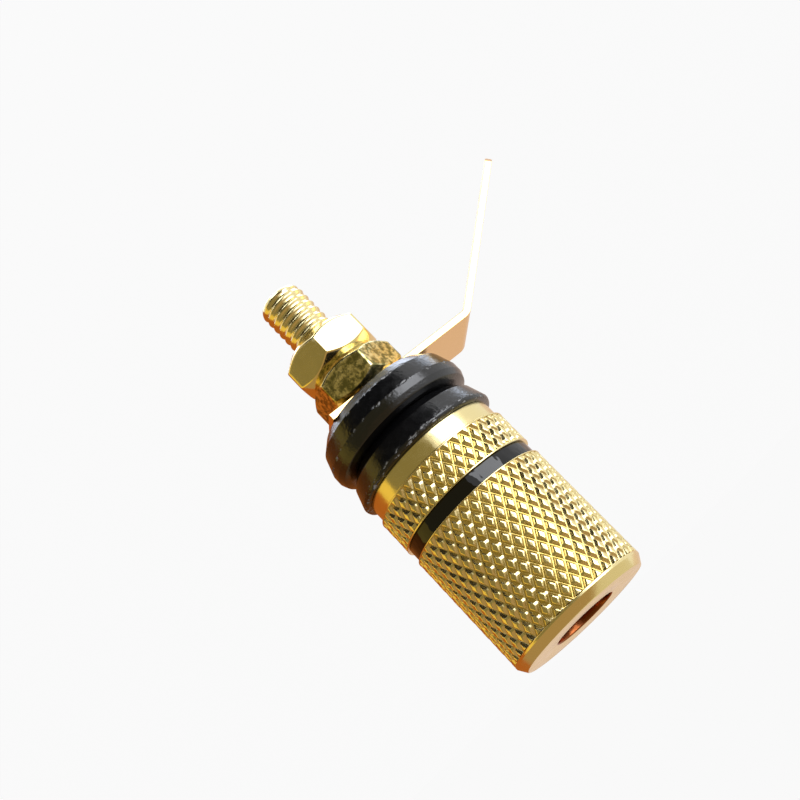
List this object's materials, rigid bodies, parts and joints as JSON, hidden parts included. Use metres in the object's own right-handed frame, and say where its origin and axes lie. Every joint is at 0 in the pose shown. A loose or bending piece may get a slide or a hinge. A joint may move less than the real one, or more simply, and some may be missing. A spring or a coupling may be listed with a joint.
{
  "type": "binding post",
  "caption": "Panel binding post with a diamond-knurled screw cap, banana socket, insulating washers, bent solder lug and hex nuts.",
  "frame": {"origin": "on the post's axis, at the panel seat where the rear face of the front insulator meets the rear insulator", "axes": "+Z along the post's axis, out of the panel towards the cap's front face; the solder lug's tail leaves towards -X"},
  "size_m": [0.0284, 0.013, 0.0357],
  "materials": {
    "gold_plated_post": "turned brass, gold plated, smooth",
    "gold_plated_knurl": "diamond-knurled brass, gold plated",
    "gold_plated_strip": "stamped brass strip, gold plated",
    "gold_plated_nut": "brass hex nut, gold plated",
    "black_band": "glossy black plastic",
    "black_insulator": "moulded black plastic, satin, with nicked edges"
  },
  "bodies": {
    "post_body": {"post": "gold_plated_post", "front_insulator": "black_insulator"},
    "band_body": {"band": "black_band"},
    "cap_body": {"cap": "gold_plated_knurl"},
    "rear_stack": {"rear_insulator": "black_insulator", "solder_lug": "gold_plated_strip"},
    "inner_nut_body": {"inner_nut": "gold_plated_nut"},
    "outer_nut_body": {"outer_nut": "gold_plated_nut"}
  },
  "joints": [
    {"name": "cap_lift", "type": "slide", "parent": "post_body", "child": "band_body", "axis": [0, 0, 1], "range_m": [0, 0.006]},
    {"name": "cap_turn", "type": "hinge", "parent": "band_body", "child": "cap_body", "pos_m": [0, 0, 0], "axis": [0, 0, 1], "range_deg": [0, 2880.1]},
    {"name": "stack_slide", "type": "slide", "parent": "post_body", "child": "rear_stack", "axis": [0, 0, -1], "range_m": [0, 0.00385]},
    {"name": "inner_nut_turn", "type": "hinge", "parent": "rear_stack", "child": "inner_nut_body", "pos_m": [0, 0, 0], "axis": [0, 0, -1], "range_deg": [0, 1980.1]},
    {"name": "outer_nut_turn", "type": "hinge", "parent": "rear_stack", "child": "outer_nut_body", "pos_m": [0, 0, 0], "axis": [0, 0, -1], "range_deg": [0, 1980.1]}
  ],
  "couplings": [
    {"joint": "cap_turn", "follows": "cap_lift", "rad_per_m": 8377.6},
    {"joint": "inner_nut_turn", "follows": "stack_slide", "rad_per_m": 8976},
    {"joint": "outer_nut_turn", "follows": "stack_slide", "rad_per_m": 8976}
  ]
}
